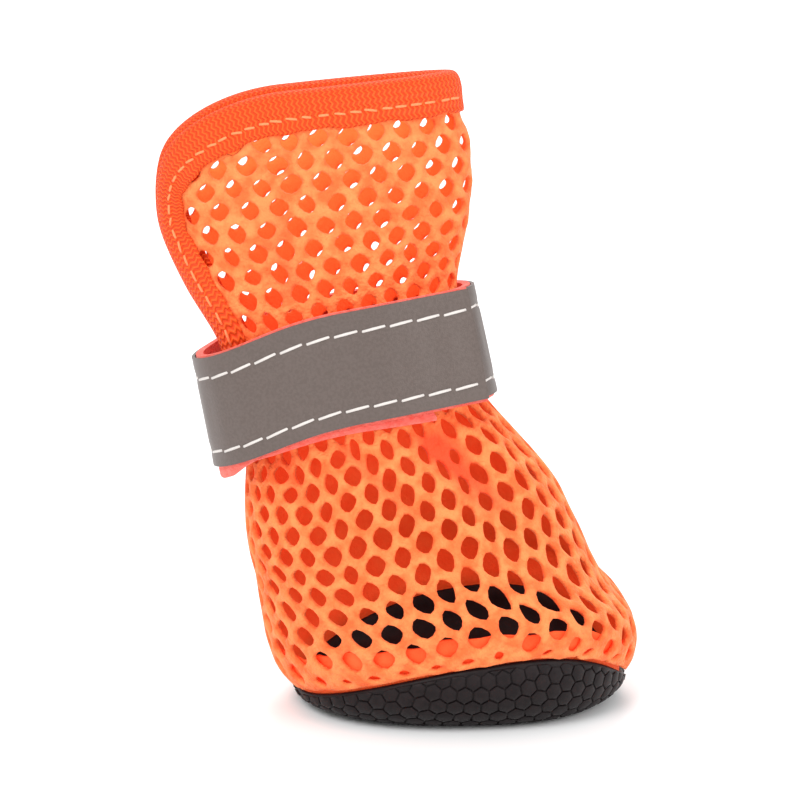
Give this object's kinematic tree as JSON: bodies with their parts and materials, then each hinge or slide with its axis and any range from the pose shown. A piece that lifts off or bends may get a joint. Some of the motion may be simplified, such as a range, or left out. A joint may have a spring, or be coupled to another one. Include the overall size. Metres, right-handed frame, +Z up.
{
  "type": "dog boot",
  "caption": "Small dog boot: an open-mesh upper with a slit at the heel, a curled rubber sole, a bound collar and a reflective wrap strap on a loop patch.",
  "frame": {"origin": "middle of the sole's flat underside, on the floor", "axes": "+Z up, +X towards the toe, -Y towards the side on which the strap closes"},
  "size_m": [0.0723, 0.045, 0.0958],
  "materials": {
    "sole_rubber": "satin, with fine raised studs",
    "insole_fabric": "matte",
    "mesh_fabric": "matte, open net",
    "binding_knit": "satin knit",
    "coral_loop_tape": "matte nap",
    "reflective_tape": "satin, reflective"
  },
  "bodies": {
    "root": {"sole": "sole_rubber", "insole": "insole_fabric", "upper": "mesh_fabric", "binding": "binding_knit", "loop_patch": "coral_loop_tape", "strap_backing": "coral_loop_tape", "strap_tape": "reflective_tape"}
  },
  "joints": []
}
